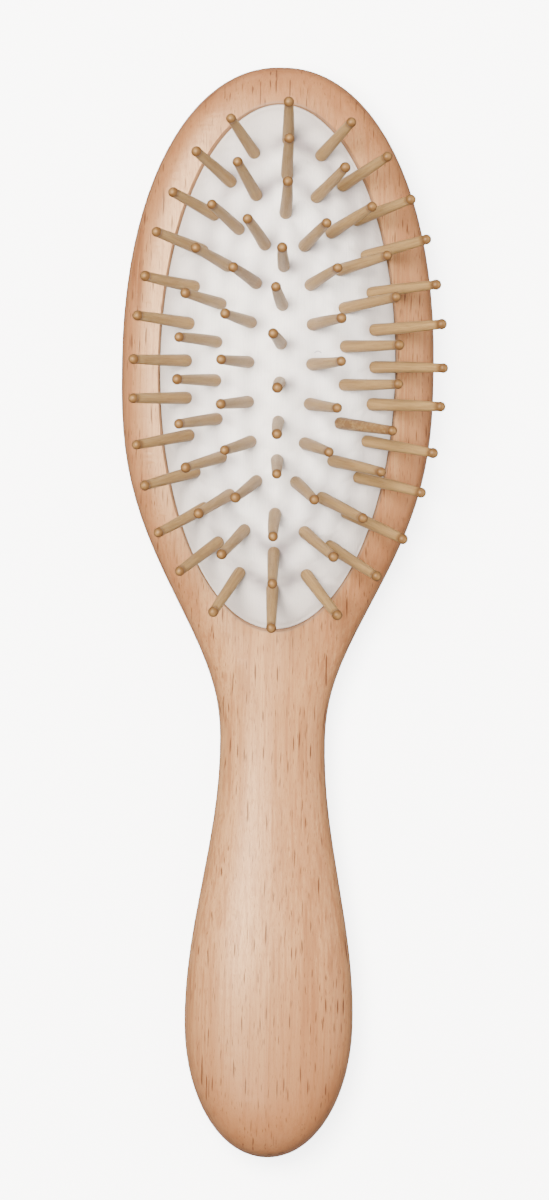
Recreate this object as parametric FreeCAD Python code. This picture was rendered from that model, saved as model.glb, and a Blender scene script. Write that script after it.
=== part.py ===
"""Oval wooden hairbrush with an air cushion and turned wooden pins.

A one-piece beech paddle (head, neck and handle) has an oval recess in its head. A rubber dome faced
with cloth closes the recess, held by a bead in an undercut groove, and 72 wooden pins stand in it.

Frame, in millimetres: +X across the brush, +Y from the handle to the head, +Z the way the pins point.
The origin is below the cushion's centre, on the flat back that the brush rests on.
"""

import FreeCAD, Part
import math
import os

# Paddle, seen from the front
OVERALL_LENGTH = 220.0
HEAD_WIDTH = 63.0
NECK_WIDTH = 21.2
GRIP_WIDTH = 34.0
NECK_BELOW_OPENING = 23.3  # from the opening's lower end to the narrowest place
GRIP_ROUND_LENGTH = 27.9  # from the widest place of the grip to the handle's end
HEAD_OVAL_POWER = 2.15
GRIP_OVAL_POWER = 2.05
SHOULDER_START_POWER = 2.7
SHOULDER_END_POWER = 2.6

# Paddle, seen from the side
HEAD_THICKNESS = 15.5
THROAT_FRONT = 15.0  # height of the front at the opening's lower end
NECK_FRONT = 14.6
NECK_BACK = 1.6
GRIP_THICKNESS = 18.2
BACK_FLAT_DEPTH = 0.5  # how much the flat on the head's back takes off the round back
GRIP_FLAT_DEPTH = 0.3
WAIST_SHARE = 0.47  # height of the widest line, as a share of the section
HEAD_FRONT_POWER = 4.2
HEAD_BACK_POWER = 3.2
HANDLE_SECTION_POWER = 2.3
GRIP_END_ROUNDING = 13.0
GRIP_END_POWER = 2.5
SECTION_POINTS = 32
STATIONS_PER_END = 12
STATIONS_BETWEEN = 20

# Opening and recess
OPENING_LENGTH = 105.4
RIM_WIDTH_SIDE = 7.7
RIM_WIDTH_TOP = 7.9
RIM_HEIGHT = 14.7  # plane of the cushion's edge
RECESS_DEPTH = 8.6
OPENING_CHAMFER = 0.35

# Cushion
CUSHION_GAP = 0.35
CUSHION_RISE = 10.5
CLOTH_THICKNESS = 0.4
MEMBRANE_THICKNESS = 1.6
SKIRT_INSET = 0.4
BEAD_DEPTH = 5.2  # from the rim plane to the bead's top
BEAD_HEIGHT = 1.8
BEAD_REACH = 2.0  # how far the bead stands out past the opening
GROOVE_CLEARANCE = 0.4
VENT_DIAMETER = 1.0
VENT_PLACE = (8.4, 3.1)

# Pins
PIN_LENGTH = 19.5  # from the cloth to the end of the ball
PIN_BASE_DIAMETER = 2.5
PIN_THROAT_DIAMETER = 1.7
PIN_BALL_DIAMETER = 2.15
PIN_SHOULDER_HEIGHT = 0.9
PIN_NECK_DIAMETER = 1.3
PIN_FOOT_DIAMETER = 3.4
PIN_FOOT_THICKNESS = 1.2
PIN_CLEARANCE = 0.3  # from the neck to its hole
PIN_SHOULDER_GAP = 0.5  # along the pin, from the cloth to the shoulder
PIN_FOOT_GAP = 0.75  # along the pin, from the membrane to the foot
PATTERN_SHIFT = (0.5, 0.5)  # the pattern stands slightly off the cushion's centre
PATTERN_TURN = -1.2  # and is turned slightly clockwise, in degrees
WOBBLE = 0.02  # unevenness of the pins' lean, as the sine of an angle
SIDE_LEAN_POWER = 0.75  # the sideways lean fades late towards a ring's ends
END_LEAN_POWER = 1.25  # the lengthwise lean fades early towards its sides

# Each ring of pins: count, half-width and half-length as shares of the cushion's, and the sine of the
# lean at its left, right, upper and lower ends.
RINGS = {
    "rim": (28, 0.80, 0.860, (0.57, 0.73, 0.36, 0.45)),
    "outer": (22, 0.55, 0.723, (0.40, 0.56, 0.36, 0.33)),
    "inner": (16, 0.27, 0.575, (0.30, 0.31, 0.31, 0.26)),
}
CENTRE_REACH = 0.370
# Lean of the centre line's pins, across and along, from the upper to the lower end
CENTRE_LEANS = [(-0.04, 0.18), (-0.09, 0.15), (-0.10, 0.09), (-0.03, -0.09), (-0.01, -0.15), (0.01, -0.17)]

# Pins of each ring that rock together, as (name, first index, count). Index 0 is the upper pin, and
# the count runs anticlockwise, so the left side comes first.
ARCS = {
    "rim": [
        ("top", -1, 3),
        ("left_1", 2, 4),
        ("left_2", 6, 3),
        ("left_3", 9, 4),
        ("bottom", 13, 3),
        ("right_3", 16, 4),
        ("right_2", 20, 3),
        ("right_1", 23, 4),
    ],
    "outer": [
        ("top", -1, 3),
        ("left_1", 2, 4),
        ("left_2", 6, 4),
        ("bottom", 10, 3),
        ("right_2", 13, 4),
        ("right_1", 17, 4),
    ],
    "inner": [("top", -1, 3), ("left", 2, 5), ("bottom", 7, 3), ("right", 10, 5)],
    "centre": [("1", 0, 3), ("2", 3, 3)],
}

# Derived places
HEAD_HALF = HEAD_WIDTH / 2
NECK_HALF = NECK_WIDTH / 2
GRIP_HALF = GRIP_WIDTH / 2
OPENING_HALF_WIDTH = HEAD_HALF - RIM_WIDTH_SIDE
OPENING_HALF_LENGTH = OPENING_LENGTH / 2
HEAD_TOP = OPENING_HALF_LENGTH + RIM_WIDTH_TOP
HANDLE_END = HEAD_TOP - OVERALL_LENGTH
NECK_Y = -OPENING_HALF_LENGTH - NECK_BELOW_OPENING
GRIP_Y = HANDLE_END + GRIP_ROUND_LENGTH
CUSHION_HALF_WIDTH = OPENING_HALF_WIDTH - CUSHION_GAP
CUSHION_HALF_LENGTH = OPENING_HALF_LENGTH - CUSHION_GAP
DOME_RADIUS = (CUSHION_HALF_WIDTH**2 + CUSHION_RISE**2) / (2 * CUSHION_RISE)
DOME_STRETCH = CUSHION_HALF_LENGTH / CUSHION_HALF_WIDTH
DOME_CENTRE_HEIGHT = RIM_HEIGHT + CUSHION_RISE - DOME_RADIUS
WALL = CLOTH_THICKNESS + MEMBRANE_THICKNESS
Z_AXIS = FreeCAD.Vector(0, 0, 1)


def ease(share):
    """Smooth step from 0 to 1 with level ends."""
    return (1 - math.cos(math.pi * min(max(share, 0.0), 1.0))) / 2


def eased_between(stations, y):
    """Value at y of a smooth run through (y, value) stations, listed from high y to low y."""
    if y >= stations[0][0]:
        return stations[0][1]
    for (y0, v0), (y1, v1) in zip(stations, stations[1:]):
        if y >= y1:
            return v0 + (v1 - v0) * ease((y0 - y) / (y0 - y1))
    return stations[-1][1]


def oval(share, power):
    """Half-width, from 1 to 0, of a superellipse at a share of its length."""
    return (1 - min(abs(share), 1.0) ** power) ** (1 / power)


def half_width(y):
    """Half of the paddle's width."""
    if y >= 0:
        return HEAD_HALF * oval(y / HEAD_TOP, HEAD_OVAL_POWER)
    if y >= NECK_Y:
        swell = (1 - (y / NECK_Y) ** SHOULDER_START_POWER) ** SHOULDER_END_POWER
        return NECK_HALF + (HEAD_HALF - NECK_HALF) * swell
    if y >= GRIP_Y:
        return NECK_HALF + (GRIP_HALF - NECK_HALF) * ease((NECK_Y - y) / (NECK_Y - GRIP_Y))
    return GRIP_HALF * oval((GRIP_Y - y) / GRIP_ROUND_LENGTH, GRIP_OVAL_POWER)


def end_rounding(y):
    """Share of the full height that is left near the head's top and the handle's end."""
    from_top, from_end = HEAD_TOP - y, y - HANDLE_END
    if from_top < HEAD_HALF:
        return oval(1 - from_top / HEAD_HALF, HEAD_FRONT_POWER)
    if from_end < GRIP_END_ROUNDING:
        return oval(1 - from_end / GRIP_END_ROUNDING, GRIP_END_POWER)
    return 1.0


def section_shape(y):
    """Front, back and waist heights and the two section powers at y."""
    front = eased_between(
        [
            (-0.5 * OPENING_HALF_LENGTH, HEAD_THICKNESS),
            (-OPENING_HALF_LENGTH, THROAT_FRONT),
            (NECK_Y, NECK_FRONT),
            (GRIP_Y, GRIP_THICKNESS),
        ],
        y,
    )
    back = eased_between(
        [(-0.5 * OPENING_HALF_LENGTH, -BACK_FLAT_DEPTH), (NECK_Y, NECK_BACK), (GRIP_Y, -GRIP_FLAT_DEPTH)], y
    )
    powers = [
        eased_between([(-0.5 * OPENING_HALF_LENGTH, power), (NECK_Y, HANDLE_SECTION_POWER)], y)
        for power in (HEAD_FRONT_POWER, HEAD_BACK_POWER)
    ]
    return front, back, back + WAIST_SHARE * (front - back), powers


def waist_height(y):
    """Height of the paddle's widest line at y."""
    return section_shape(y)[2]


def section_wire(y):
    """Closed section of the paddle at y, in four edges: front and back half-superellipses."""
    front, back, waist, (front_power, back_power) = section_shape(y)
    across, up = half_width(y), end_rounding(y)
    points = []
    for step in range(SECTION_POINTS):
        angle = 2 * math.pi * step / SECTION_POINTS
        cosine, sine = math.cos(angle), math.sin(angle)
        power = front_power if sine >= 0 else back_power
        reach = (abs(cosine) ** power + abs(sine) ** power) ** (-1 / power)
        height = (front - waist if sine >= 0 else waist - back) * up
        points.append(FreeCAD.Vector(across * reach * cosine, y, waist + height * reach * sine))
    curve = Part.BSplineCurve()
    steps = [step / SECTION_POINTS for step in range(SECTION_POINTS + 1)]
    curve.interpolate(Points=points, PeriodicFlag=True, Parameters=steps)
    return Part.Wire([curve.toShape(quarter / 4, (quarter + 1) / 4) for quarter in range(4)])


def stations():
    """Section places from the head's top to the handle's end, closer together towards both ends."""
    reach_top, reach_end = HEAD_HALF, GRIP_ROUND_LENGTH
    steps = range(1, STATIONS_PER_END + 1)
    shares = [1 - math.cos(math.pi / 2 * step / STATIONS_PER_END) for step in steps]
    upper = [HEAD_TOP - reach_top * share for share in shares]
    lower = [HANDLE_END + reach_end * share for share in reversed(shares)]
    gap = (upper[-1] - lower[0]) / STATIONS_BETWEEN
    between = [upper[-1] - gap * step for step in range(1, STATIONS_BETWEEN)]
    return upper + between + lower


def ellipse_wire(half_x, half_y, height):
    """Level ellipse, longer along Y, centred over the origin."""
    long_end, short_end = FreeCAD.Vector(0, half_y, height), FreeCAD.Vector(-half_x, 0, height)
    return Part.Wire(Part.Ellipse(long_end, short_end, FreeCAD.Vector(0, 0, height)).toShape())


def ellipse_prism(half_x, half_y, low, high):
    """Upright solid with an elliptical outline between two heights."""
    return Part.Face(ellipse_wire(half_x, half_y, low)).extrude(FreeCAD.Vector(0, 0, high - low))


def elliptical_funnel(low, high):
    """Cutter for the opening's chamfer: its outline at the low end, flaring at 45 degrees."""
    flare = high - low
    narrow = ellipse_wire(OPENING_HALF_WIDTH, OPENING_HALF_LENGTH, low)
    wide = ellipse_wire(OPENING_HALF_WIDTH + flare, OPENING_HALF_LENGTH + flare, high)
    return Part.makeLoft([narrow, wide], True, True)


def make_body():
    """Paddle with flats on its back, the recess for the cushion and the groove for its bead."""
    ends = [Part.Vertex(0, y, waist_height(y)) for y in (HEAD_TOP, HANDLE_END)]
    body = Part.makeLoft([ends[0], *map(section_wire, stations()), ends[1]], True)
    below = Part.makeBox(
        2 * HEAD_WIDTH,
        2 * OVERALL_LENGTH,
        HEAD_THICKNESS,
        FreeCAD.Vector(-HEAD_WIDTH, HEAD_TOP - 1.5 * OVERALL_LENGTH, -HEAD_THICKNESS),
    )
    recess = ellipse_prism(
        OPENING_HALF_WIDTH, OPENING_HALF_LENGTH, RIM_HEIGHT - RECESS_DEPTH, 2 * HEAD_THICKNESS
    )
    groove_top = RIM_HEIGHT - BEAD_DEPTH + GROOVE_CLEARANCE
    groove_reach = BEAD_REACH + GROOVE_CLEARANCE
    groove = ellipse_prism(
        OPENING_HALF_WIDTH + groove_reach,
        OPENING_HALF_LENGTH + groove_reach,
        groove_top - BEAD_HEIGHT - 2 * GROOVE_CLEARANCE,
        groove_top,
    )
    edge = elliptical_funnel(RIM_HEIGHT - OPENING_CHAMFER, HEAD_THICKNESS + RIM_WIDTH_SIDE / 4)
    return body.cut(below).cut(recess.fuse([edge, groove]))


def dome(inset, low):
    """Solid ellipsoid cap, set in from the cloth's outer face, above a height."""
    radius = DOME_RADIUS - inset
    ball = Part.makeSphere(radius, FreeCAD.Vector(0, 0, 0), FreeCAD.Vector(0, 1, 0))
    ball.rotate(FreeCAD.Vector(0, 0, 0), FreeCAD.Vector(0, 1, 0), 90)
    stretch = FreeCAD.Matrix()
    stretch.scale(1, (DOME_RADIUS * DOME_STRETCH - inset) / radius, 1)
    ball = ball.transformGeometry(stretch)
    ball.translate(FreeCAD.Vector(0, 0, DOME_CENTRE_HEIGHT))
    above = Part.makeBox(
        4 * DOME_RADIUS,
        8 * DOME_RADIUS,
        2 * DOME_RADIUS,
        FreeCAD.Vector(-2 * DOME_RADIUS, -4 * DOME_RADIUS, low),
    )
    return ball.common(above)


def dome_height(x, y):
    """Height of the cloth's outer face."""
    return DOME_CENTRE_HEIGHT + math.sqrt(DOME_RADIUS**2 - x**2 - (y / DOME_STRETCH) ** 2)


def vent():
    """Cutter for the air vent through the dome."""
    depth = CUSHION_RISE + MEMBRANE_THICKNESS
    return Part.makeCylinder(
        VENT_DIAMETER / 2, 2 * depth, FreeCAD.Vector(*VENT_PLACE, RIM_HEIGHT - WALL), Z_AXIS
    )


def make_membrane(holes):
    """Rubber dome with its skirt and bead, vented, with a hole for each pin's neck."""
    shell = dome(CLOTH_THICKNESS, RIM_HEIGHT).cut(dome(WALL, RIM_HEIGHT - WALL))
    skirt_x = CUSHION_HALF_WIDTH - SKIRT_INSET
    skirt_y = CUSHION_HALF_LENGTH - SKIRT_INSET
    bead_low = RIM_HEIGHT - BEAD_DEPTH - BEAD_HEIGHT
    skirt = ellipse_prism(skirt_x, skirt_y, bead_low, RIM_HEIGHT)
    bead = ellipse_prism(
        OPENING_HALF_WIDTH + BEAD_REACH, OPENING_HALF_LENGTH + BEAD_REACH, bead_low, bead_low + BEAD_HEIGHT
    )
    inside = ellipse_prism(
        skirt_x - MEMBRANE_THICKNESS, skirt_y - MEMBRANE_THICKNESS, bead_low, RIM_HEIGHT
    )
    return shell.fuse(skirt.fuse(bead).cut(inside)).removeSplitter().cut([*holes, vent()])


def make_facing(holes):
    """Cloth on the dome, with the same holes and vent."""
    return dome(0, RIM_HEIGHT).cut(dome(CLOTH_THICKNESS, RIM_HEIGHT - WALL)).cut([*holes, vent()])


def ring_angles(count, half_x, half_y):
    """Angles that space pins evenly along an ellipse, from its upper end anticlockwise."""
    fine = 720
    walked, lengths = 0.0, [0.0]
    for step in range(fine):
        a, b = (math.pi / 2 + 2 * math.pi * (step + offset) / fine for offset in (0, 1))
        walked += math.hypot(half_x * (math.cos(b) - math.cos(a)), half_y * (math.sin(b) - math.sin(a)))
        lengths.append(walked)
    angles = []
    for pin in range(count):
        target = walked * pin / count
        step = next(i for i in range(fine) if lengths[i + 1] > target)
        part_step = (target - lengths[step]) / (lengths[step + 1] - lengths[step])
        angles.append(math.pi / 2 + 2 * math.pi * (step + part_step) / fine)
    return angles


def lean_share(part, power):
    """Signed power of a sine or cosine."""
    return math.copysign(abs(part) ** power, part)


def wobble(seed):
    """Repeatable unevenness between -WOBBLE and WOBBLE."""
    return WOBBLE * math.sin(12.9898 * seed + 4.1414)


def ring_spots(name):
    """Places and leans, as (x, y, lean_x, lean_y), of a straight pattern on the cushion's centre."""
    if name == "centre":
        reach, last = CENTRE_REACH * CUSHION_HALF_LENGTH, len(CENTRE_LEANS) - 1
        return [(0.0, reach * (1 - 2 * i / last), *lean) for i, lean in enumerate(CENTRE_LEANS)]
    count, share_x, share_y, (left, right, upper, lower) = RINGS[name]
    half_x, half_y = share_x * CUSHION_HALF_WIDTH, share_y * CUSHION_HALF_LENGTH
    spots = []
    for angle in ring_angles(count, half_x, half_y):
        cosine, sine = math.cos(angle), math.sin(angle)
        lean_x = (right if cosine > 0 else left) * lean_share(cosine, SIDE_LEAN_POWER)
        lean_y = (upper if sine > 0 else lower) * lean_share(sine, END_LEAN_POWER)
        spots.append((half_x * cosine, half_y * sine, lean_x, lean_y))
    return spots


def ring_pins(name):
    """Foot points and directions of the pins of one ring, or of the centre line."""
    turn = math.radians(PATTERN_TURN)
    pins = []
    for number, (x, y, lean_x, lean_y) in enumerate(ring_spots(name)):
        turned_x = x * math.cos(turn) - y * math.sin(turn) + PATTERN_SHIFT[0]
        turned_y = x * math.sin(turn) + y * math.cos(turn) + PATTERN_SHIFT[1]
        seed = 1 + number + 31 * len(name)
        lean_x, lean_y = lean_x + wobble(seed), lean_y + wobble(1.7 * seed)
        rise = math.sqrt(1 - lean_x**2 - lean_y**2)
        spot = FreeCAD.Vector(turned_x, turned_y, dome_height(turned_x, turned_y))
        pins.append((spot, FreeCAD.Vector(lean_x, lean_y, rise)))
    return pins


def upright_pin():
    """One turned pin on the Z axis, with the cloth's outer face at height 0."""
    ball, throat = PIN_BALL_DIAMETER / 2, PIN_THROAT_DIAMETER / 2
    base, neck, foot = PIN_BASE_DIAMETER / 2, PIN_NECK_DIAMETER / 2, PIN_FOOT_DIAMETER / 2
    foot_top = -WALL - PIN_FOOT_GAP
    foot_low = foot_top - PIN_FOOT_THICKNESS
    shoulder = PIN_SHOULDER_GAP
    ball_centre = PIN_LENGTH - ball
    throat_height = ball_centre - math.sqrt(ball**2 - throat**2)
    corners = [
        (0, foot_low),
        (foot, foot_low),
        (foot, foot_top),
        (neck, foot_top),
        (neck, shoulder),
        (base - PIN_CLEARANCE, shoulder),
        (base, shoulder + PIN_SHOULDER_HEIGHT),
        (throat, throat_height),
    ]
    points = [FreeCAD.Vector(r, 0, h) for r, h in corners]
    edges = [Part.LineSegment(a, b).toShape() for a, b in zip(points, points[1:])]
    tip = FreeCAD.Vector(0, 0, PIN_LENGTH)
    side = FreeCAD.Vector(ball, 0, ball_centre)
    edges.append(Part.Arc(points[-1], side, tip).toShape())
    edges.append(Part.LineSegment(tip, points[0]).toShape())
    return Part.Face(Part.Wire(edges)).revolve(FreeCAD.Vector(0, 0, 0), Z_AXIS, 360)


def placed(shape, spot, direction):
    """Copy of a shape made on the Z axis, turned to a direction and moved to a spot."""
    copy = shape.copy()
    copy.Placement = FreeCAD.Placement(spot, FreeCAD.Rotation(Z_AXIS, direction))
    return copy


def pin_groups():
    """Pins that rock together: node name to a list of (foot point, direction)."""
    groups = {}
    for ring, arcs in ARCS.items():
        pins = ring_pins(ring)
        for arc, first, count in arcs:
            chosen = [pins[(first + i) % len(pins)] for i in range(count)]
            groups[f"pins_{ring}_{arc}"] = chosen
    return groups


def make_parts():
    """Every node's shape, by name."""
    groups = pin_groups()
    hole = Part.makeCylinder(
        PIN_NECK_DIAMETER / 2 + PIN_CLEARANCE, 3 * WALL, FreeCAD.Vector(0, 0, -2 * WALL), Z_AXIS
    )
    holes = [placed(hole, *pin) for pins in groups.values() for pin in pins]
    parts = {
        "brush_body": make_body(),
        "cushion_membrane": make_membrane(holes),
        "cushion_facing": make_facing(holes),
    }
    pin_shape = upright_pin()
    for name, pins in groups.items():
        parts[name] = Part.makeCompound([placed(pin_shape, *pin) for pin in pins])
    return parts


def main():
    """Writes one STEP file per node."""
    os.makedirs("parts", exist_ok=True)
    for name, shape in make_parts().items():
        shape.exportStep(f"parts/{name}.step")


if __name__ == "__main__":
    main()
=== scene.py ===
"""Oval wooden hairbrush: beech paddle, white cloth cushion on an air dome, turned wooden pins.

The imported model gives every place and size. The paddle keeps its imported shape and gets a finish.
The cushion and the pins are made anew in the same places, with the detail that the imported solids
lack. Lengths are in metres unless a name ends in _mm.
"""

import logging
import math
import random
from collections.abc import Sequence
from dataclasses import dataclass, field
from enum import Enum
from typing import Any

import bmesh
import bpy
import numpy as np
from mathutils import Matrix, Vector

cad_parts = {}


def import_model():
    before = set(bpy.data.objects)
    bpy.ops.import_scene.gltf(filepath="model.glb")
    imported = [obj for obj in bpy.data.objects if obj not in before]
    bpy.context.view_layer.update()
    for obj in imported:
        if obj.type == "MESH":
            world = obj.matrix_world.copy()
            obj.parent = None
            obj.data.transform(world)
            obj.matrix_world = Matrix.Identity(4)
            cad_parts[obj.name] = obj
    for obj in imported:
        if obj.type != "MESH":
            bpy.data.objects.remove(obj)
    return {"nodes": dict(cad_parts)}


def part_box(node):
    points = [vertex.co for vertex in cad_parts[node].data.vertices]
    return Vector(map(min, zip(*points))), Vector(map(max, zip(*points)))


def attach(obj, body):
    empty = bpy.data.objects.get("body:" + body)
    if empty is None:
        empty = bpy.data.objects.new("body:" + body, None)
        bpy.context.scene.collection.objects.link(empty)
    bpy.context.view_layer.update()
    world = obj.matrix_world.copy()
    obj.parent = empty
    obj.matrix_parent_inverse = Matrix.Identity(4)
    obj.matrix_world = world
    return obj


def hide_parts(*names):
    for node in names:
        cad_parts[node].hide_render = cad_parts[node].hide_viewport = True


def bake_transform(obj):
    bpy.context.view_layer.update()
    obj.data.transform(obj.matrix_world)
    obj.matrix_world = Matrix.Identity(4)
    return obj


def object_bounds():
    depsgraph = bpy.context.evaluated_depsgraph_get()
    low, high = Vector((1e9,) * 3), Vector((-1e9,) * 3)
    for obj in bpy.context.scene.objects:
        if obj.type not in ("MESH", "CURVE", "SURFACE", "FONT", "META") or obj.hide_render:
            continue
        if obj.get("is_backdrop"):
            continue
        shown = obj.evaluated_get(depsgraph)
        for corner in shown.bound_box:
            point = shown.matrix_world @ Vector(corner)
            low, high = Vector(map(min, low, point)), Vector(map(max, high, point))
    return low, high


LOG = logging.getLogger("hairbrush")
MM = 0.001
MERGE = 1e-7
Triple = tuple[float, float, float]
Colour = Triple
WHITE: Colour = (1.0, 1.0, 1.0)
FULL_TURN = 2 * math.pi


class Figure:
    """A number that varies over a surface: a node's output, for use in sums."""

    def __init__(self, bench: "Bench", socket: bpy.types.NodeSocket) -> None:
        """Holds the socket and the bench that its node stands on."""
        self.bench = bench
        self.socket = socket

    def _sum(self, operation: str, *terms: "Figure | float", clamp: bool = False) -> "Figure":
        """Adds a Math node.

        Args:
            operation: The Math node's operation.
            terms: Its values or links, in order.
            clamp: Whether the result is kept between 0 and 1.

        Returns:
            The node's result.
        """
        settings = {"operation": operation, "use_clamp": clamp}
        node = self.bench.node("ShaderNodeMath", settings, dict(enumerate(terms)))
        return Figure(self.bench, node.outputs[0])

    def __add__(self, other: "Figure | float") -> "Figure":
        """Sum."""
        return self._sum("ADD", self, other)

    def __radd__(self, other: float) -> "Figure":
        """Sum with a plain number on the left."""
        return self._sum("ADD", other, self)

    def __sub__(self, other: "Figure | float") -> "Figure":
        """Difference."""
        return self._sum("SUBTRACT", self, other)

    def __rsub__(self, other: float) -> "Figure":
        """Difference from a plain number."""
        return self._sum("SUBTRACT", other, self)

    def __mul__(self, other: "Figure | float") -> "Figure":
        """Product."""
        return self._sum("MULTIPLY", self, other)

    def __rmul__(self, other: float) -> "Figure":
        """Product with a plain number on the left."""
        return self._sum("MULTIPLY", other, self)

    def __abs__(self) -> "Figure":
        """Size without sign."""
        return self._sum("ABSOLUTE", self)

    def sine(self) -> "Figure":
        """Sine of the number in radians."""
        return self._sum("SINE", self)

    def root(self) -> "Figure":
        """Square root."""
        return self._sum("SQRT", self)

    def kept(self) -> "Figure":
        """The number kept between 0 and 1."""
        return self._sum("ADD", self, 0.0, clamp=True)

    def rise(self, low: float, high: float) -> "Figure":
        """Smooth step.

        Args:
            low: Where the step is 0.
            high: Where the step is 1. It may be below low.

        Returns:
            A number from 0 to 1.
        """
        settings = {"interpolation_type": "SMOOTHSTEP"}
        node = self.bench.node("ShaderNodeMapRange", settings, {0: self, 1: low, 2: high})
        return Figure(self.bench, node.outputs[0])


class Bench:
    """One material's node tree, with a single way to add a node."""

    def __init__(self, name: str) -> None:
        """Starts an empty material of that name."""
        self.material = bpy.data.materials.new(name)
        self.material.use_nodes = True
        self.tree = self.material.node_tree
        self.tree.nodes.clear()

    def node(
        self,
        kind: str,
        settings: dict[str, Any] | None = None,
        sockets: dict[Any, Any] | None = None,
    ) -> bpy.types.Node:
        """Adds a node.

        Args:
            kind: The node's type.
            settings: Its properties, set first.
            sockets: Values or links of its inputs, by name or number.

        Returns:
            The node.
        """
        made = self.tree.nodes.new(kind)
        for name, value in (settings or {}).items():
            setattr(made, name, value)
        for name, value in (sockets or {}).items():
            if isinstance(value, Figure):
                value = value.socket
            if isinstance(value, bpy.types.NodeSocket):
                self.tree.links.new(value, made.inputs[name])
            elif isinstance(value, tuple) and len(value) == 3 and made.inputs[name].type == "RGBA":
                made.inputs[name].default_value = (*value, 1.0)
            else:
                made.inputs[name].default_value = value
        return made

    def millimetres(self) -> bpy.types.NodeSocket:
        """Object coordinates in millimetres."""
        place = self.node("ShaderNodeTexCoord").outputs["Object"]
        return self.times(place, (1000.0, 1000.0, 1000.0))

    def carried(self, name: str) -> bpy.types.NodeSocket:
        """A mesh's own vector attribute."""
        return self.node("ShaderNodeAttribute", {"attribute_name": name}).outputs["Vector"]

    def _vector(self, operation: str, first: Any, second: Any) -> bpy.types.NodeSocket:
        """Two vectors put through a Vector Math node."""
        node = self.node("ShaderNodeVectorMath", {"operation": operation}, {0: first, 1: second})
        return node.outputs[0]

    def times(self, place: bpy.types.NodeSocket, factors: Triple) -> bpy.types.NodeSocket:
        """A vector with each axis multiplied."""
        return self._vector("MULTIPLY", place, factors)

    def moved(self, place: bpy.types.NodeSocket, step: Any) -> bpy.types.NodeSocket:
        """A vector moved by a step."""
        return self._vector("ADD", place, step)

    def joined(self, first: Figure, second: Figure) -> bpy.types.NodeSocket:
        """A flat place made of two numbers."""
        return self.node("ShaderNodeCombineXYZ", None, {0: first, 1: second}).outputs[0]

    def axes(self, place: bpy.types.NodeSocket) -> tuple[Figure, Figure, Figure]:
        """A vector's three numbers."""
        node = self.node("ShaderNodeSeparateXYZ", None, {0: place})
        return tuple(Figure(self, output) for output in node.outputs)

    def noise(
        self,
        place: bpy.types.NodeSocket,
        per_mm: Triple,
        detail: float = 2.0,
        roughness: float = 0.5,
        distortion: float = 0.0,
    ) -> Figure:
        """Cloudy noise.

        Args:
            place: Coordinates in millimetres.
            per_mm: Clouds per millimetre along each axis.
            detail: Octaves of finer noise.
            roughness: Strength of the finer noise.
            distortion: How much the clouds swirl.

        Returns:
            A number about 0.5, mostly from 0.3 to 0.7.
        """
        sockets = {
            "Vector": self.times(place, per_mm),
            "Scale": 1.0,
            "Detail": detail,
            "Roughness": roughness,
            "Distortion": distortion,
        }
        return Figure(self, self.node("ShaderNodeTexNoise", None, sockets).outputs[0])

    def grains(
        self,
        place: bpy.types.NodeSocket,
        per_mm: Triple,
        smallest: float,
        largest: float,
        share: float,
    ) -> Figure:
        """Scattered oval marks, one or none to a cell.

        Args:
            place: Coordinates in millimetres.
            per_mm: Cells per millimetre along each axis.
            smallest: Radius of the smallest mark, as a share of a cell.
            largest: Radius of the largest mark.
            share: Share of the cells that have a mark.

        Returns:
            1 inside a mark and 0 outside.
        """
        settings = {"voronoi_dimensions": "2D"}
        sockets = {"Vector": self.times(place, per_mm), "Scale": 1.0}
        cells = self.node("ShaderNodeTexVoronoi", settings, sockets)
        first, second, _ = self.axes(cells.outputs["Color"])
        radius = smallest + (largest - smallest) * second
        inside = (radius - Figure(self, cells.outputs["Distance"])) * (2.2 / largest)
        return inside.kept() * first.rise(share, share - 0.12)

    def mix(self, factor: Any, first: Any, second: Any) -> bpy.types.NodeSocket:
        """A colour between two others."""
        settings = {"data_type": "RGBA", "clamp_factor": True}
        return self.node("ShaderNodeMix", settings, {0: factor, 6: first, 7: second}).outputs[2]

    def layered(self, base: Any, layers: Sequence[tuple[Figure, Colour]]) -> bpy.types.NodeSocket:
        """Colours laid over one another.

        Args:
            base: The lowest colour.
            layers: Each layer's mask, from 0 to 1, and its colour, lowest first.

        Returns:
            The colour on top.
        """
        for mask, tone in layers:
            base = self.mix(mask, base, tone)
        return base

    def bump(self, height: Figure, depth: float, strength: float = 1.0) -> bpy.types.NodeSocket:
        """Surface relief.

        Args:
            height: Height from 0 to 1.
            depth: Height of 1, in metres.
            strength: Share of the relief that is shown.

        Returns:
            The bent normal.
        """
        sockets = {"Height": height, "Distance": depth, "Strength": strength}
        return self.node("ShaderNodeBump", None, sockets).outputs[0]

    def finish(self, **sockets: Any) -> bpy.types.Material:
        """Ends the tree in a Principled shader.

        Args:
            sockets: Its values or links by name, with underscores for spaces.

        Returns:
            The finished material.
        """
        named = {name.replace("_", " "): value for name, value in sockets.items()}
        shader = self.node("ShaderNodeBsdfPrincipled", None, named)
        self.node("ShaderNodeOutputMaterial", None, {"Surface": shader.outputs[0]})
        return self.material


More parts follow.
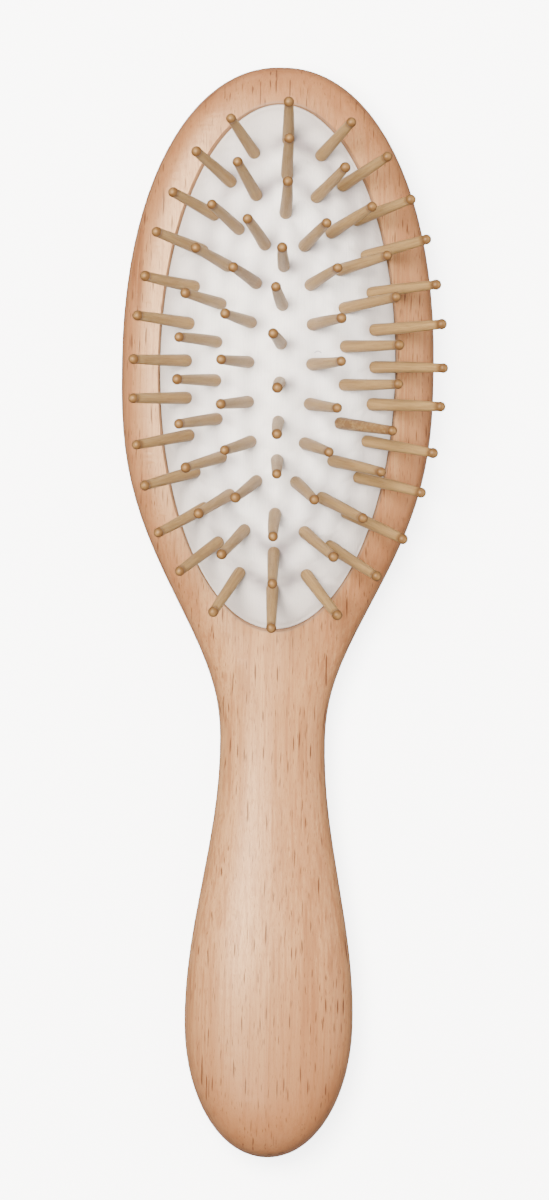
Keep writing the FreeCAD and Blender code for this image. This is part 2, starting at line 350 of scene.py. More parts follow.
@dataclass(frozen=True)
class BeechFinish:
    """Satin-varnished steamed beech, its grain along Y, with short dark ray flecks."""

    name: str = "satin_beech"
    pale: Colour = (0.410, 0.212, 0.092)
    rosy: Colour = (0.325, 0.150, 0.062)
    deep: Colour = (0.215, 0.084, 0.032)
    fleck: Colour = (0.090, 0.032, 0.014)
    seam_shade: Colour = (0.200, 0.125, 0.080)
    roughness: float = 0.41
    gloss: float = 0.30
    gloss_tint: Colour = (1.0, 0.80, 0.58)
    broad_per_mm: Triple = (0.045, 0.012, 0.045)
    band_per_mm: Triple = (0.26, 0.008, 0.26)
    streak_per_mm: Triple = (1.5, 0.030, 1.5)
    fibre_per_mm: Triple = (7.5, 0.22, 7.5)
    stagger_per_mm: Triple = (0.55, 0.0, 0.55)
    stagger_mm: float = 16.0
    fleck_per_mm: Triple = (0.80, 0.075, 1.0)
    other_per_mm: Triple = (0.95, 0.110, 1.0)
    dash_per_mm: Triple = (1.75, 0.22, 1.0)
    pore_per_mm: Triple = (3.6, 0.6, 1.0)
    other_step: Triple = (23.7, 151.3, 0.0)
    pore_step: Triple = (5.1, 71.7, 0.0)
    marked_share: float = 0.88
    handle_end_mm: tuple[float, float] = (-112.0, -156.0)
    neck_mm: tuple[float, float] = (-64.0, -40.0)
    relief: float = 0.00007
    opening_mm: tuple[float, float] = (23.8, 52.7)
    head_mm: tuple[float, float] = (31.5, 61.0)
    front_mm: tuple[float, float] = (8.0, 12.0)
    streak_tone: Colour = (0.105, 0.036, 0.014)
    streak_place_mm: tuple[float, float] = (-28.6, 22.0)
    streak_half_mm: tuple[float, float] = (1.9, 15.0)

    def streak(self, bench: Bench, place: bpy.types.NodeSocket) -> Figure:
        """The browner streak on the left of the rim, 1 at its middle."""
        x, y, height = bench.axes(place)
        bend = bench.noise(place, (0.08, 0.06, 0.08), 1.0)
        across = (x - self.streak_place_mm[0] - (bend - 0.5) * 4.0) * (1 / self.streak_half_mm[0])
        along = (y - self.streak_place_mm[1]) * (1 / self.streak_half_mm[1])
        return (across * across + along * along).rise(1.0, 0.1) * height.rise(*self.front_mm)

    def seam(self, bench: Bench, place: bpy.types.NodeSocket) -> Figure:
        """The painted shade along the edge of the opening, where the wood meets the cushion, 1 at
        the edge.
        """
        x, y, height = bench.axes(place)
        across, along = x * (1 / self.opening_mm[0]), y * (1 / self.opening_mm[1])
        level = (across * across + along * along).root()
        return level.rise(1.022, 1.010) * height.rise(*self.front_mm)

    def outer(self, bench: Bench, place: bpy.types.NodeSocket) -> Figure:
        """The head's outer edge, browner and darker, partly painted shade where it rounds away from
        the light and partly a browner tone of the wood, 1 at the edge and 0 at the opening.
        """
        x, y, _ = bench.axes(place)
        across, along = x * (1 / self.head_mm[0]), y * (1 / self.head_mm[1])
        return (across * across + along * along).root().rise(0.74, 1.00) * y.rise(*self.neck_mm)

    def marks(
        self,
        bench: Bench,
        front: bpy.types.NodeSocket,
        flank: bpy.types.NodeSocket,
        side: Figure,
        per_mm: Triple,
        radii: tuple[float, float],
    ) -> Figure:
        """Short dark ray marks along the grain, on the front and back and on the flanks.

        Args:
            bench: The material's bench.
            front: Places on the front and back.
            flank: Places on the flanks.
            side: 1 on the flanks and 0 on the front and back.
            per_mm: Marks' cells per millimetre across and along the grain.
            radii: Smallest and largest radius, as shares of a cell.

        Returns:
            1 inside a mark and 0 outside.
        """
        share = self.marked_share
        over, beside = (bench.grains(face, per_mm, *radii, share) for face in (front, flank))
        return over * (1.0 - side) + beside * side

    def material(self) -> bpy.types.Material:
        """Makes the finish."""
        bench = Bench(self.name)
        place = bench.millimetres()
        broad = bench.noise(place, self.broad_per_mm, 2.0)
        bands = bench.noise(place, self.band_per_mm, 3.0, 0.55, 0.25)
        streaks = bench.noise(place, self.streak_per_mm, 4.0, 0.6)
        fibres = bench.noise(place, self.fibre_per_mm, 3.0, 0.6)
        x, y, height = bench.axes(place)
        facing = bench.node("ShaderNodeNewGeometry").outputs["Normal"]
        side = abs(bench.axes(facing)[2]).rise(0.62, 0.42)
        stagger = bench.noise(place, self.stagger_per_mm, 1.0) * self.stagger_mm
        front = bench.joined(x, y + stagger)
        flank = bench.joined(height * 0.8 + 51.0, y + 17.0 + stagger)
        flecks = self.marks(bench, front, flank, side, self.fleck_per_mm, (0.060, 0.165))
        moved = (bench.moved(face, self.other_step) for face in (front, flank))
        others = self.marks(bench, *moved, side, self.other_per_mm, (0.050, 0.150))
        dashes = self.marks(bench, front, flank, side, self.dash_per_mm, (0.055, 0.16))
        pore_place = bench.moved(front, self.pore_step)
        pores = bench.grains(pore_place, self.pore_per_mm, 0.08, 0.22, 0.7)
        browner = self.streak(bench, place) * streaks.rise(0.22, 0.52) * (1.0 - side * 0.9)
        colour = bench.layered(
            self.pale,
            (
                (broad.rise(0.36, 0.64), self.rosy),
                (bands.rise(0.45, 0.68) * 0.50, self.deep),
                (streaks.rise(0.47, 0.66) * 0.62, self.deep),
                (streaks.rise(0.50, 0.30) * 0.55, self.pale),
                (fibres.rise(0.45, 0.68) * 0.50, self.deep),
                (browner, self.streak_tone),
                # Darker towards the handle's end: partly a browner tone of the wood, partly painted
                # shade where the light falls off.
                (y.rise(*self.handle_end_mm) * 0.80, self.deep),
                # Outer edge: partly painted shade, partly browner wood.
                (self.outer(bench, place) * 0.72, self.deep),
                (flecks, self.fleck),
                (others * 0.85, self.fleck),
                (dashes * 0.72, self.fleck),
                (pores * 0.28, self.fleck),
                # Painted shade on the wood along the opening round the cushion.
                (self.seam(bench, place) * 0.7, self.seam_shade),
            ),
        )
        rough = self.roughness + (fibres - 0.5) * 0.16 + flecks * 0.10
        height_map = fibres * 0.45 - flecks * 0.30 - pores * 0.35 + streaks * 0.2
        return bench.finish(
            Base_Color=colour,
            Roughness=rough,
            Normal=bench.bump(height_map, self.relief, 0.6),
            Specular_IOR_Level=self.gloss,
            Specular_Tint=self.gloss_tint,
        )


@dataclass(frozen=True)
class PinWoodFinish:
    """Pale turned wood, its grain along each pin, browned at the ball where the end grain shows,
    with painted shade round the ball's edge and a painted highlight on its crown.
    """

    name: str = "turned_pin_wood"
    pale: Colour = (0.270, 0.168, 0.066)
    grey: Colour = (0.190, 0.113, 0.044)
    brown: Colour = (0.080, 0.038, 0.013)
    ember: Colour = (0.118, 0.055, 0.017)
    glint: Colour = (0.230, 0.130, 0.046)
    gloss_tint: Colour = (1.0, 0.82, 0.60)
    roughness: float = 0.46
    gloss: float = 0.25
    grain_per_mm: Triple = (2.4, 2.4, 0.10)
    fibre_per_mm: Triple = (9.0, 9.0, 0.45)
    mottle_per_mm: Triple = (1.1, 1.1, 0.8)
    relief: float = 0.00005
    ball_start_mm: float = 16.9
    length_mm: float = 19.5

    def material(self) -> bpy.types.Material:
        """Makes the finish, from each pin's own upright coordinates and its tone."""
        bench = Bench(self.name)
        place = bench.carried(Pins.PLACE)
        tone, red, _ = bench.axes(bench.carried(Pins.TONE))
        x, y, height = bench.axes(place)
        radius = (x * x + y * y).root()
        apart = {0: tone * 97.0, 1: tone * 31.0, 2: tone * 55.0}
        own = bench.moved(place, bench.node("ShaderNodeCombineXYZ", None, apart).outputs[0])
        grain = bench.noise(own, self.grain_per_mm, 4.0, 0.6)
        fibres = bench.noise(own, self.fibre_per_mm, 3.0, 0.6)
        mottle = bench.noise(own, self.mottle_per_mm, 3.0, 0.6)
        top = self.length_mm
        end = height.rise(self.ball_start_mm, self.ball_start_mm + 1.4)
        # Painted shade round the edge of the ball.
        ring = height.rise(top - 1.9, top - 1.0) * radius.rise(0.45, 0.95)
        # Painted highlight on the ball's crown.
        painted_glint = radius.rise(0.7, 0.1) * height.rise(top - 0.9, top - 0.1)
        colour = bench.layered(
            self.pale,
            (
                ((grain.rise(0.36, 0.66) * 0.7 + tone * 0.3).kept(), self.grey),
                (fibres.rise(0.48, 0.75) * 0.35, self.brown),
                (red * (0.3 + mottle.rise(0.38, 0.58) * 0.7), self.ember),
                (end * (0.70 + mottle.rise(0.35, 0.6) * 0.30), self.ember),
                # Painted shade round the ball's edge.
                (ring * 0.6, self.brown),
                (painted_glint * (0.15 + mottle.rise(0.4, 0.6) * 0.5), self.glint),
                (height.rise(0.8, -0.2) * 0.25, self.brown),
            ),
        )
        return bench.finish(
            Base_Color=colour,
            Roughness=self.roughness + (fibres - 0.5) * 0.2,
            Normal=bench.bump(fibres * 0.6 + grain * 0.4, self.relief, 0.5),
            Specular_IOR_Level=self.gloss,
            Specular_Tint=self.gloss_tint,
        )


@dataclass(frozen=True)
class ClothFinish:
    """White cotton on the air dome: close warp threads along the brush, looser weft across.

    It has painted shade in the hollows, a painted shadow beside each pin, and painted shade with
    warm bounced light towards the edge.
    """

    name: str = "white_cushion_cloth"
    white: Colour = (0.900, 0.870, 0.840)
    shade: Colour = (0.770, 0.735, 0.730)
    dust: Colour = (0.560, 0.520, 0.490)
    painted_shade_lavender: Colour = (0.190, 0.158, 0.165)
    painted_edge_shade_and_bounce: Colour = (0.430, 0.350, 0.300)
    warp_mm: float = 0.30
    weft_mm: float = 0.40
    slub_per_mm: Triple = (2.6, 0.10, 2.6)
    cloud_per_mm: Triple = (0.11, 0.09, 0.11)
    fuzz_per_mm: Triple = (9.0, 9.0, 9.0)
    drift_per_mm: Triple = (0.25, 0.05, 0.25)
    roughness: float = 0.88
    sheen: float = 0.15
    sheen_roughness: float = 0.5
    gloss: float = 0.25
    relief: float = 0.00006
    vent_mm: tuple[float, float] = (8.0, 3.0)
    vent_radius_mm: float = 0.75
    vent_tone: Colour = (0.260, 0.240, 0.280)

    def vent(self, bench: Bench, place: bpy.types.NodeSocket) -> Figure:
        """The short curved slit of the air vent, 1 inside it."""
        x, y, _ = bench.axes(place)
        across, along = x - self.vent_mm[0], y - self.vent_mm[1] + self.vent_radius_mm
        distance = (across * across + along * along).root()
        line = abs(distance - self.vent_radius_mm).rise(0.16, 0.04)
        return line * along.rise(0.25, 0.5)

    def material(self) -> bpy.types.Material:
        """Makes the finish."""
        bench = Bench(self.name)
        place = bench.millimetres()
        drift = bench.noise(place, self.drift_per_mm, 2.0)
        x, y, _ = bench.axes(place)
        warp = ((x + drift * 0.5) * (math.pi / self.warp_mm)).sine()
        weft = ((y + drift * 0.3) * (math.pi / self.weft_mm)).sine()
        over = (warp * weft * 1.6 + 0.5).kept()
        threads = abs(warp) * (0.55 + over * 0.45) + abs(weft) * (1.0 - over) * 0.4
        slubs = bench.noise(place, self.slub_per_mm, 3.0, 0.6)
        clouds = bench.noise(place, self.cloud_per_mm, 2.0)
        fuzz = bench.noise(place, self.fuzz_per_mm, 2.0)
        hollow, edge, pin_shadow = bench.axes(bench.carried(Cushion.PAINTED_SHADE))
        colour = bench.layered(
            self.white,
            (
                (clouds.rise(0.35, 0.68) * 0.5, self.shade),
                (slubs.rise(0.46, 0.72) * 0.55, self.shade),
                (threads.rise(0.55, 0.05) * 0.42, self.dust),
                # Painted shade and painted warm light bounced from the wood, towards the cloth's
                # edge.
                (edge * 0.75, self.painted_edge_shade_and_bounce),
                # Painted shade in the hollows between neighbouring pins; the hollows are also real
                # dips in the mesh.
                (hollow * (0.42 + clouds.rise(0.35, 0.62) * 0.45), self.painted_shade_lavender),
                # Painted shadow of each pin on the cloth beside its foot.
                (pin_shadow * (0.30 + clouds.rise(0.38, 0.60) * 0.35), self.painted_shade_lavender),
                (self.vent(bench, place) * 0.8, self.vent_tone),
            ),
        )
        height_map = threads * 0.7 + slubs * 0.5 + fuzz * 0.25
        return bench.finish(
            Base_Color=colour,
            Roughness=self.roughness,
            Normal=bench.bump(height_map, self.relief, 0.7),
            Sheen_Weight=self.sheen,
            Sheen_Roughness=self.sheen_roughness,
            Specular_IOR_Level=self.gloss,
        )


@dataclass(frozen=True)
class FloorFinish:
    """Plain pale studio floor."""

    name: str = "studio_floor"
    tone: Colour = (0.92, 0.92, 0.92)
    roughness: float = 0.9
    glow: float = 4.5

    def material(self) -> bpy.types.Material:
        """Makes the finish."""
        bench = Bench(self.name)
        return bench.finish(
            Base_Color=self.tone,
            Roughness=self.roughness,
            Emission_Color=WHITE,
            Emission_Strength=self.glow,
        )


class Ring(Enum):
    """The rings of pins that go all the way round, by the word in their nodes' names."""

    RIM = "rim"
    OUTER = "outer"
    INNER = "inner"


@dataclass(frozen=True)
class PinPlace:
    """Where one pin stands: where its axis meets the cloth, and its direction."""

    foot: Vector
    direction: Vector

    def frame(self) -> Matrix:
        """Turns and moves a pin made upright on the origin to its place."""
        turn = Vector((0, 0, 1)).rotation_difference(self.direction)
        return Matrix.Translation(self.foot) @ turn.to_matrix().to_4x4()


def piece_from(name: str, mesh: bmesh.types.BMesh, smooth: bool = True) -> bpy.types.Object:
    """Makes a scene object from a finished mesh.

    Args:
        name: The piece's name.
        mesh: Its mesh, which is freed.
        smooth: Whether its faces are shaded smooth.

    Returns:
        The object, at the origin.
    """
    data = bpy.data.meshes.new(name)
    for face in mesh.faces:
        face.smooth = smooth
    mesh.to_mesh(data)
    mesh.free()
    made = bpy.data.objects.new(name, data)
    bpy.context.scene.collection.objects.link(made)
    return made


def islands(mesh: bmesh.types.BMesh) -> list[list[bmesh.types.BMVert]]:
    """Groups of vertices that are joined by edges."""
    seen: set[int] = set()
    groups = []
    for start in mesh.verts:
        if start.index in seen:
            continue
        seen.add(start.index)
        group, waiting = [], [start]
        while waiting:
            vertex = waiting.pop()
            group.append(vertex)
            for edge in vertex.link_edges:
                other = edge.other_vert(vertex)
                if other.index not in seen:
                    seen.add(other.index)
                    waiting.append(other)
        groups.append(group)
    return groups


@dataclass
class Pins:
    """All the pins, in one piece for each body that rocks."""

    PLACE = "turned_place_mm"
    TONE = "turned_tone"

    nodes: dict[str, bpy.types.Object]
    length_mm: float = 19.5
    base_mm: float = 2.5
    throat_mm: float = 1.86
    ball_mm: float = 2.08
    foot_mm: float = 3.4
    neck_mm: float = 1.3
    foot_depths_mm: tuple[float, float] = (-3.95, -2.75)
    steps_round: int = 24
    steps_ball: int = 9
    steps_shank: int = 12
    belly_mm: float = 0.03
    bow_mm: float = 0.12
    redder: tuple[Triple, ...] = ((23.0, -13.6, 0.85), (-9.0, 18.6, 0.45))
    redder_reach_mm: float = 1.6
    finish: PinWoodFinish = field(default_factory=PinWoodFinish)
    places: dict[str, list[PinPlace]] = field(default_factory=dict)

    def read_places(self) -> None:
        """Finds each pin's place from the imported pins: its axis is the long one of its shape."""
        for name, node in self.nodes.items():
            if not name.startswith("pins_"):
                continue
            copy = bmesh.new()
            copy.from_mesh(node.data)
            bmesh.ops.remove_doubles(copy, verts=copy.verts, dist=MERGE)
            copy.verts.index_update()
            found = []
            for group in islands(copy):
                points = np.array([vertex.co for vertex in group])
                middle = points.mean(axis=0)
                axis = np.linalg.svd(points - middle, full_matrices=False)[2][0]
                axis = axis * np.sign(axis[2])
                heights = (points - middle) @ axis
                tip = middle + axis * heights.max()
                foot = tip - axis * self.length_mm * MM
                found.append(PinPlace(Vector(foot), Vector(axis)))
            copy.free()
            self.places[name] = sorted(found, key=lambda place: (-place.foot.y, place.foot.x))

    def spots(self) -> np.ndarray:
        """Where every pin's axis meets the cloth, one row each."""
        return np.array([place.foot for places in self.places.values() for place in places])

    def lines(self) -> np.ndarray:
        """Lines between neighbouring pins of each ring, as pairs of feet."""
        found = []
        for ring in Ring:
            groups = [places for name, places in self.places.items() if ring.value in name]
            feet = [place.foot for places in groups for place in places]
            feet.sort(key=lambda foot: math.atan2(foot.y, foot.x))
            found += zip(feet, feet[1:] + feet[:1])
        return np.array(found)

    def profile(self, chance: random.Random) -> list[Vector]:
        """One pin's half outline in metres, from the foot's middle up to the ball's end.

        Args:
            chance: Source of the small differences from pin to pin.

        Returns:
            Points on the XZ plane.
        """
        ball = self.ball_mm / 2 * chance.uniform(0.95, 1.05)
        throat = self.throat_mm / 2 * chance.uniform(0.96, 1.04)
        base = self.base_mm / 2 * chance.uniform(0.97, 1.03)
        low, high = self.foot_depths_mm
        foot, neck = self.foot_mm / 2, self.neck_mm / 2
        centre = self.length_mm - ball
        corners = [
            (0.0, low),
            (foot - 0.15, low),
            (foot, low + 0.15),
            (foot, high - 0.1),
            (foot - 0.1, high),
            (neck, high),
            (neck, -1.2),
            (base - 0.45, -0.55),
            (base - 0.08, -0.15),
            (base, 0.5),
        ]
        start, end = 0.5, centre - math.sqrt(ball * ball - throat * throat) - 0.12
        for step in range(1, self.steps_shank + 1):
            share = step / self.steps_shank
            belly = self.belly_mm * math.sin(math.pi * share)
            radius = base + (throat - base) * share + belly
            corners.append((radius, start + (end - start) * share))
        first = math.asin(min(throat / ball, 1.0))
        for step in range(self.steps_ball + 1):
            angle = (math.pi - first) * (1 - step / self.steps_ball)
            corners.append((ball * math.sin(angle), centre + ball * math.cos(angle)))
        return [Vector((radius * MM, 0.0, height * MM)) for radius, height in corners]

    def turn_one(
        self, chance: random.Random, place: PinPlace, tone: tuple[float, float]
    ) -> bmesh.types.BMesh:
        """Turns one pin and sets it in its place.

        Args:
            chance: Source of the small differences from pin to pin.
            place: Where the pin stands.
            tone: Its tone and its redness, both from 0 to 1.

        Returns:
            The pin's closed mesh.
        """
        pin = bmesh.new()
        outline = [pin.verts.new(point) for point in self.profile(chance)]
        edges = [pin.edges.new(pair) for pair in zip(outline, outline[1:])]
        bmesh.ops.spin(
            pin,
            geom=outline + edges,
            cent=(0, 0, 0),
            axis=(0, 0, 1),
            angle=FULL_TURN,
            steps=self.steps_round,
            use_merge=True,
        )
        bmesh.ops.remove_doubles(pin, verts=pin.verts, dist=MERGE)
        bmesh.ops.recalc_face_normals(pin, faces=pin.faces)
        upright = pin.verts.layers.float_vector.new(self.PLACE)
        shade = pin.verts.layers.float_vector.new(self.TONE)
        bow, side = chance.uniform(0.0, self.bow_mm) * MM, chance.uniform(0, FULL_TURN)
        for vertex in pin.verts:
            vertex[upright] = vertex.co / MM
            vertex[shade] = (*tone, 0.0)
            share = max(vertex.co.z, 0.0) / (self.length_mm * MM)
            bent = bow * math.sin(math.pi * share)
            vertex.co += Vector((bent * math.cos(side), bent * math.sin(side), 0.0))
        bmesh.ops.transform(pin, matrix=place.frame(), verts=pin.verts)
        return pin

    def build(self) -> list[bpy.types.Object]:
        """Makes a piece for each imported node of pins."""
        material = self.finish.material()
        pieces = []
        for order, (name, places) in enumerate(sorted(self.places.items())):
            chance = random.Random(order)
            group = bmesh.new()
            for place in places:
                single = self.turn_one(chance, place, (chance.random(), self.redness(place)))
                kept = bpy.data.meshes.new("single_pin")
                single.to_mesh(kept)
                single.free()
                group.from_mesh(kept)
                bpy.data.meshes.remove(kept)
            body = name.removeprefix("pins_")
            piece = piece_from(f"{body}_pins", group)
            piece.data.materials.append(material)
            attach(piece, body)
            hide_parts(name)
            pieces.append(piece)
            LOG.info("%s: %d pins on body %s", piece.name, len(places), body)
        return pieces

    def redness(self, place: PinPlace) -> float:
        """How red a pin is: two of them were cut from redder wood."""
        tip = place.foot / MM + place.direction * self.length_mm
        for x, y, amount in self.redder:
            if math.hypot(tip.x - x, tip.y - y) < self.redder_reach_mm:
                return amount
        return 0.0


@dataclass
class Cushion:
    """The air cushion: cloth on a rubber dome, drawn in at each pin and full between them."""

    PAINTED_SHADE = "cushion_painted_shade"

    low: Vector
    high: Vector
    spots: np.ndarray
    lines: np.ndarray
    cells_across: int = 84
    cells_along: int = 184
    swell_mm: float = 0.55
    pinch_mm: float = 0.42
    pinch_reach_mm: float = 1.9
    hollow_mm: float = 0.34
    hollow_reach_mm: float = 1.6
    hollow_lengthwise: float = 0.2
    # Where and how wide the painted shadow beside each pin lies.
    pin_shadow_step_mm: tuple[float, float] = (1.9, -0.3)
    pin_shadow_reach_mm: float = 1.9
    held_reach_mm: float = 1.5
    held_level: float = 0.985
    most_swell: float = 1.4
    edge_shade_level: float = 0.62
    skirt_low_mm: float = 7.8
    skirt_inset_mm: float = 0.4
    outset_mm: float = 0.2
    blend_rise_mm: float = 4.0
    fill: float = 0.85
    blow_scale: float = 20.0
    blow_frames: int = 20
    air_settings: dict[str, Any] = field(
        default_factory=lambda: {
            "quality": 6,
            "mass": 0.3,
            "tension_stiffness": 12,
            "compression_stiffness": 12,
            "shear_stiffness": 6,
            "bending_stiffness": 0.6,
            "shrink_min": -0.02,
            "use_pressure": True,
            "uniform_pressure_force": 4.0,
        }
    )
    finish: ClothFinish = field(default_factory=ClothFinish)

    @property
    def half(self) -> tuple[float, float]:
        """Half-width and half-length of the cloth's outline."""
        return (self.high.x - self.low.x) / 2, (self.high.y - self.low.y) / 2

    def dome_height(self, x: float, y: float) -> float:
        """Height of the dome at a place inside the outline."""
        half_x, half_y = self.half
        rise = self.high.z - self.low.z
        radius = (half_x**2 + rise**2) / (2 * rise)
        level = min((x / half_x) ** 2 + (y / half_y) ** 2, 1.0)
        return self.high.z - radius + math.sqrt(radius**2 - level * half_x**2)

    def sheet(self) -> bmesh.types.BMesh:
        """The dome's skin: a flat grid rounded to the outline and lifted."""
        half_x, half_y = self.half
        skin = bmesh.new()
        cells = {"x_segments": self.cells_across, "y_segments": self.cells_along}
        bmesh.ops.create_grid(skin, **cells, size=1.0)
        for vertex in skin.verts:
            u, v = vertex.co.x, vertex.co.y
            x = half_x * u * math.sqrt(1 - v * v / 2)
            y = half_y * v * math.sqrt(1 - u * u / 2)
            level = (x / half_x) ** 2 + (y / half_y) ** 2
            spread = 1 + self.outset_mm * MM / half_x * level**8
            vertex.co = Vector((x * spread, y * spread, self.dome_height(x, y)))
        return skin

    def nearest(self, points: np.ndarray) -> np.ndarray:
        """Distance from each point to the nearest pin, in metres."""
        away = points[:, None, :] - self.spots[None, :, :]
        return np.sqrt((away**2).sum(axis=2)).min(axis=1)

    def hollows(self, points: np.ndarray) -> np.ndarray:
        """How deep points lie in the hollows between neighbouring pins, from 0 to 1."""
        start, end = self.lines[:, 0, :2], self.lines[:, 1, :2]
        along, flat = end - start, points[:, None, :2]
        share = ((flat - start) * along).sum(axis=2) / (along**2).sum(axis=1)
        nearest = start + np.clip(share, 0, 1)[..., None] * along
        away = np.linalg.norm(flat - nearest, axis=2)
        across = np.abs(along[:, 0]) / np.linalg.norm(along, axis=1)
        least = self.hollow_lengthwise
        depth = np.exp(-((away / (self.hollow_reach_mm * MM)) ** 2))
        return (depth * (least + (1 - least) * across)).max(axis=1)

    def pin_shadows(self, points: np.ndarray) -> np.ndarray:
        """How near points lie to the painted shadow beside a pin, from 0 to 1."""
        step = np.array([*self.pin_shadow_step_mm, 0.0]) * MM
        return np.exp(-((self.nearest(points - step) / (self.pin_shadow_reach_mm * MM)) ** 2))

    def blow(self, skin: bpy.types.Object) -> np.ndarray:
        """Blows the skin up with air, held at its edge and at the pins, by cloth simulation.

        Args:
            skin: The dome's skin, which is left as it was.

        Returns:
            How far each vertex moved, in metres.
        """
        rest = np.array([vertex.co for vertex in skin.data.vertices])
        trial = skin.copy()
        trial.data = skin.data.copy()
        trial.data.transform(Matrix.Scale(self.blow_scale, 4))
        bpy.context.scene.collection.objects.link(trial)
        half_x, half_y = self.half
        level = (rest[:, 0] / half_x) ** 2 + (rest[:, 1] / half_y) ** 2
        held = np.maximum(level > self.held_level, self.nearest(rest) < self.held_reach_mm * MM)
        group = trial.vertex_groups.new(name="held")
        group.add([int(number) for number in np.flatnonzero(held)], 1.0, "REPLACE")
        air = trial.modifiers.new("air", "CLOTH")
        for name, value in self.air_settings.items():
            setattr(air.settings, name, value)
        air.settings.vertex_group_mass = group.name
        air.settings.effector_weights.gravity = 0.0
        air.collision_settings.use_collision = False
        air.collision_settings.use_self_collision = False
        air.point_cache.frame_start = 1
        air.point_cache.frame_end = self.blow_frames
        scene = bpy.context.scene
        for frame_number in range(1, self.blow_frames + 1):
            scene.frame_set(frame_number)
        depsgraph = bpy.context.evaluated_depsgraph_get()
        blown = trial.evaluated_get(depsgraph).to_mesh()
        moved = np.array([vertex.co for vertex in blown.vertices]) / self.blow_scale - rest
        scene.frame_set(1)
        bpy.data.objects.remove(trial)
        return moved

    def shape(self, skin: bpy.types.Object) -> None:
        """Swells the skin between the pins and draws it in at each of them.

        Args:
            skin: The dome's skin, whose vertices move.
        """
        rest = np.array([vertex.co for vertex in skin.data.vertices])
        moved = self.blow(skin)
        reach = np.linalg.norm(moved, axis=1)
        typical = float(np.percentile(reach, 90))
        if typical > 0:
            moved *= self.swell_mm * MM / typical
            reach = np.linalg.norm(moved, axis=1)
            most = self.most_swell * self.swell_mm * MM
            moved *= np.minimum(1.0, most / np.maximum(reach, 1e-9))[:, None]
        LOG.info("cushion skin swells by up to %.2f mm", np.linalg.norm(moved, axis=1).max() / MM)
        reach = self.nearest(rest) / (self.pinch_reach_mm * MM)
        pinch = self.pinch_mm * MM * np.exp(-(reach**2))
        hollow = self.hollows(rest)
        moved[:, 2] -= np.maximum(pinch, hollow * self.hollow_mm * MM)
        # How near the outline the painted edge shade lies.
        half_x, half_y = self.half
        level = np.sqrt((rest[:, 0] / half_x) ** 2 + (rest[:, 1] / half_y) ** 2)
        edge = np.clip((level - self.edge_shade_level) / (1 - self.edge_shade_level), 0, 1)
        # Masks of painted shade for the cloth's colour: in the hollows, towards the edge and the
        # shadow beside each pin.
        form = np.stack([hollow, edge, self.pin_shadows(rest)], axis=1)
        layer = skin.data.attributes.new(self.PAINTED_SHADE, "FLOAT_VECTOR", "POINT")
        layer.data.foreach_set("vector", form.ravel())
        for vertex, point in zip(skin.data.vertices, rest + moved):
            vertex.co = point

    def close(self, skin: bpy.types.Object) -> None:
        """Turns the skin's edge down into the gap and closes the form below.

        Args:
            skin: The shaped skin, which becomes a closed piece.
        """
        half_x, half_y = self.half
        inset, top, bottom = self.skirt_inset_mm * MM, self.low.z, self.skirt_low_mm * MM
        skirt = ((0.2 * MM, -0.5), (0.9 * MM, 0.2), (1.6 * MM, 1.0), (top - bottom, 1.0))
        rings = [(half_x - inset * near, half_y - inset * near, top - drop) for drop, near in skirt]
        rings += [(half_x * share, half_y * share, bottom) for share in (0.6, 0.25, 0.0)]
        form = bmesh.new()
        form.from_mesh(skin.data)
        edges = [edge for edge in form.edges if edge.is_boundary]
        for ring_x, ring_y, height in rings:
            made = bmesh.ops.extrude_edge_only(form, edges=edges)["geom"]
            edges = [item for item in made if isinstance(item, bmesh.types.BMEdge)]
            for vertex in {vertex for edge in edges for vertex in edge.verts}:
                angle = math.atan2(vertex.co.y / half_y, vertex.co.x / half_x)
                vertex.co = (ring_x * math.cos(angle), ring_y * math.sin(angle), height)
        bmesh.ops.remove_doubles(form, verts=form.verts, dist=MERGE)
        bmesh.ops.recalc_face_normals(form, faces=form.faces)
        for face in form.faces:
            face.smooth = True
        form.to_mesh(skin.data)
        form.free()

    def build(self) -> bpy.types.Object:
        """Makes the cushion in the imported cushion's place and hides the imported one."""
        cushion = piece_from("cushion_pad", self.sheet())
        self.shape(cushion)
        finer = cushion.modifiers.new("finer", "SUBSURF")
        finer.levels = finer.render_levels = 1
        depsgraph = bpy.context.evaluated_depsgraph_get()
        data = bpy.data.meshes.new_from_object(cushion.evaluated_get(depsgraph))
        cushion.modifiers.clear()
        cushion.data = data
        self.close(cushion)
        cushion.data.materials.clear()
        cushion.data.materials.append(self.finish.material())
        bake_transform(cushion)
        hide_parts("cushion_membrane", "cushion_facing")
        LOG.info("%s: %d faces", cushion.name, len(cushion.data.polygons))
        return cushion


@dataclass
class Paddle:
    """Head, neck and handle in one piece of beech, as packed."""

    node: bpy.types.Object
    finish: BeechFinish = field(default_factory=BeechFinish)

    def dress(self) -> None:
        """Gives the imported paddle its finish."""
        material = self.finish.material()
        for number in range(len(self.node.data.materials)):
            self.node.data.materials[number] = material
        LOG.info("%s: %s", self.node.name, material.name)


class Light(Enum):
    """What a studio lamp gives: soft light, highlights or both."""

    SOFT = "soft"
    SHINE = "shine"
    BOTH = "both"


@dataclass(frozen=True)
class SoftBox:
    """One large studio lamp, turned towards the brush."""

    name: str
    place: Vector
    size: float
    power: float
    tint: Colour = WHITE
    gives: Light = Light.BOTH

    def hang(self, target: Vector) -> None:
        """Hangs the lamp so that it shines on a point."""
        lamp = bpy.data.lights.new(self.name, "AREA")
        lamp.shape = "SQUARE"
        lamp.size = self.size
        lamp.energy = self.power
        lamp.color = self.tint
        made = bpy.data.objects.new(self.name, lamp)
        made.location = self.place
        made.rotation_euler = (target - self.place).to_track_quat("-Z", "Y").to_euler()
        made.visible_camera = False
        made.visible_diffuse = self.gives is not Light.SHINE
        made.visible_glossy = self.gives is not Light.SOFT
        bpy.context.scene.collection.objects.link(made)


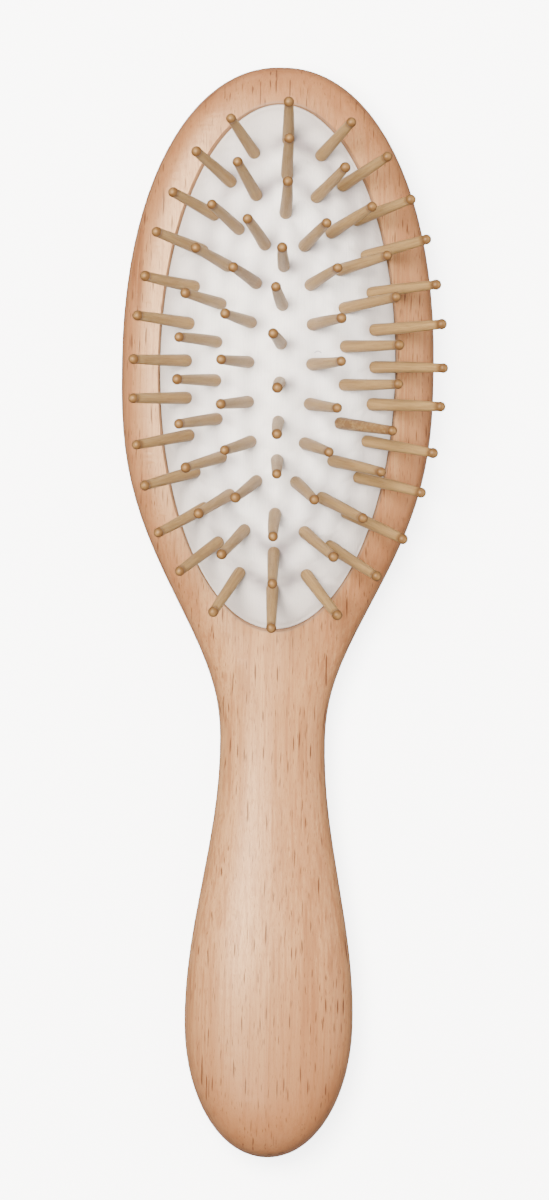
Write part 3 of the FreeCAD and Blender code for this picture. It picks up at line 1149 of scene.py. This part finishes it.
@dataclass
class Studio:
    """Floor, lamps and camera, the camera straight above the brush."""

    brush_low: Vector
    target: Vector = field(default_factory=lambda: Vector((0.0, -0.0469, 0.0073)))
    view_height: float = 0.2424
    distance: float = 1.8
    roll_deg: float = 0.81
    sensor_mm: float = 36.0
    floor_half: float = 2.5
    floor_gap: float = 0.0002
    world_strength: float = 0.42
    boxes: Sequence[SoftBox] = (
        SoftBox("key_box", Vector((-0.20, 0.10, 0.94)), 0.42, 38.0, (1.0, 0.95, 0.88), Light.SOFT),
        SoftBox("shine_box", Vector((-0.34, 0.14, 0.88)), 0.22, 62.0, (1.0, 0.86, 0.7), Light.SHINE),
        SoftBox("fill_box", Vector((0.60, 0.20, 0.95)), 0.6, 4.0, (1.0, 0.98, 0.97)),
        SoftBox("low_front_box", Vector((0.25, -1.25, 0.42)), 0.8, 3.5, (1.0, 0.97, 0.94)),
        SoftBox("low_back_box", Vector((-0.25, 1.20, 0.42)), 0.8, 8.0, (1.0, 0.97, 0.94)),
        SoftBox("low_right_box", Vector((1.20, -0.05, 0.40)), 0.8, 8.0, (1.0, 0.97, 0.95)),
        SoftBox("low_left_box", Vector((-1.20, -0.05, 0.40)), 0.8, 4.0, (1.0, 0.97, 0.95)),
    )
    finish: FloorFinish = field(default_factory=FloorFinish)

    def lay_floor(self) -> None:
        """Lays the floor just below the brush's back."""
        flat = bmesh.new()
        bmesh.ops.create_grid(flat, x_segments=1, y_segments=1, size=self.floor_half)
        level = self.brush_low.z - self.floor_gap
        bmesh.ops.translate(flat, verts=flat.verts, vec=(0.0, 0.0, level))
        floor = piece_from("studio_floor", flat, smooth=False)
        floor.data.materials.append(self.finish.material())
        floor.visible_diffuse = floor.visible_glossy = False
        floor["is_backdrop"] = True

    def light(self) -> None:
        """Hangs the lamps and sets the room's soft light."""
        for box in self.boxes:
            box.hang(self.target)
        world = bpy.data.worlds.new("studio_room")
        world.use_nodes = True
        room = world.node_tree.nodes["Background"]
        room.inputs["Color"].default_value = (*WHITE, 1.0)
        room.inputs["Strength"].default_value = self.world_strength
        bpy.context.scene.world = world

    def set_camera(self) -> None:
        """Sets the camera above the brush, rolled slightly."""
        lens = bpy.data.cameras.new("front_camera")
        lens.sensor_width = self.sensor_mm
        lens.lens = lens.sensor_width * self.distance / self.view_height
        camera = bpy.data.objects.new("front_camera", lens)
        camera.location = self.target + Vector((0.0, 0.0, self.distance))
        camera.rotation_euler = (0.0, 0.0, math.radians(self.roll_deg))
        bpy.context.scene.collection.objects.link(camera)
        bpy.context.scene.camera = camera

    def build(self) -> None:
        """Sets up the whole studio."""
        self.lay_floor()
        self.light()
        self.set_camera()
        LOG.info("studio: %d lamps", len(self.boxes))


def main() -> None:
    """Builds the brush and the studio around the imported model."""
    logging.basicConfig(level=logging.INFO, format="%(name)s %(message)s")
    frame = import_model()
    cad_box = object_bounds()
    Paddle(frame["nodes"]["brush_body"]).dress()
    pins = Pins(frame["nodes"])
    pins.read_places()
    pins.build()
    low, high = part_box("cushion_facing")
    Cushion(Vector(low), Vector(high), pins.spots(), pins.lines()).build()
    Studio(cad_box[0]).build()


if __name__ == "__main__":
    main()
